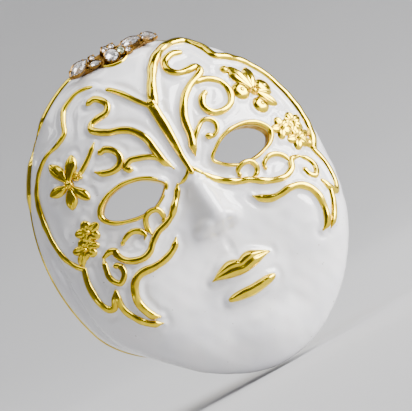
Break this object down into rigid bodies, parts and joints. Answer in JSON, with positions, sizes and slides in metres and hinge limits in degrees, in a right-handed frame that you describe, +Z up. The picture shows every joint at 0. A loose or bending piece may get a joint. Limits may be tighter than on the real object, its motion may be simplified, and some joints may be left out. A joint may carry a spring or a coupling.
{
  "type": "venetian masquerade mask brooch",
  "caption": "White-enamelled Venetian mask brooch with gold scrollwork, open eyes, gold lips, a crystal spray on the brow and a hinged pin on its hollow back.",
  "frame": {"origin": "on the pin's axis, midway along its free length", "axes": "+Z up as worn, -Y out of the face towards the viewer, +X along the pin towards its catch, which is the viewer's right"},
  "size_m": [0.05, 0.0173, 0.0584],
  "materials": {
    "white_enamel": "glossy white cold enamel",
    "shell_gold": "gold-plated casting, satin inside",
    "relief_gold": "polished gold plate",
    "finding_gold": "gold-plated finding",
    "pin_steel": "bright drawn wire",
    "clear_crystal": "cut crystal, foil-backed",
    "green_crystal": "pale green cut crystal, foil-backed"
  },
  "bodies": {
    "mask": {"brow_scroll_L": "relief_gold", "brow_scroll_R": "relief_gold", "brow_spiral_L": "relief_gold", "brow_spiral_R": "relief_gold", "cast_shell": "shell_gold", "catch_body": "finding_gold", "cheek_flower_L": "relief_gold", "cheek_flower_R": "relief_gold", "cheek_scroll_L": "relief_gold", "cheek_scroll_R": "relief_gold", "contour_wire_L": "relief_gold", "contour_wire_R": "relief_gold", "crystal_bead": "clear_crystal", "crystal_centre": "clear_crystal", "crystal_green": "green_crystal", "crystal_side": "clear_crystal", "crystal_top_L": "clear_crystal", "crystal_top_R": "clear_crystal", "enamel_face": "white_enamel", "eye_rim_L": "relief_gold", "eye_rim_R": "relief_gold", "eye_ring_inner_L": "relief_gold", "eye_ring_inner_R": "relief_gold", "eye_ring_outer_L": "relief_gold", "eye_ring_outer_R": "relief_gold", "forehead_curl_L": "relief_gold", "forehead_curl_R": "relief_gold", "hinge_bracket": "finding_gold", "hinge_rivet": "finding_gold", "jaw_hook_L": "relief_gold", "jaw_hook_R": "relief_gold", "jaw_lobe_wire_L": "relief_gold", "jaw_lobe_wire_R": "relief_gold", "jaw_tail_L": "relief_gold", "jaw_tail_R": "relief_gold", "lower_lip": "relief_gold", "navette_L_inner": "clear_crystal", "navette_L_outer": "clear_crystal", "navette_R_inner": "clear_crystal", "navette_R_outer": "clear_crystal", "pin_bar": "finding_gold", "spray_setting": "relief_gold", "temple_flower_L": "relief_gold", "temple_flower_R": "relief_gold", "under_eye_wire_L": "relief_gold", "under_eye_wire_R": "relief_gold", "upper_lip": "relief_gold", "y_stem": "relief_gold"},
    "pin": {"pin_stem": "pin_steel"},
    "lock": {"catch_rotor": "finding_gold"}
  },
  "joints": [
    {"name": "pin_hinge", "type": "hinge", "parent": "mask", "child": "pin", "pos_m": [-0.014, 0, 0], "axis": [0, 0, 1], "range_deg": [0, 75]},
    {"name": "lock_turn", "type": "hinge", "parent": "mask", "child": "lock", "pos_m": [0.0133, 0, 0], "axis": [1, 0, 0], "range_deg": [-90, 0]}
  ]
}
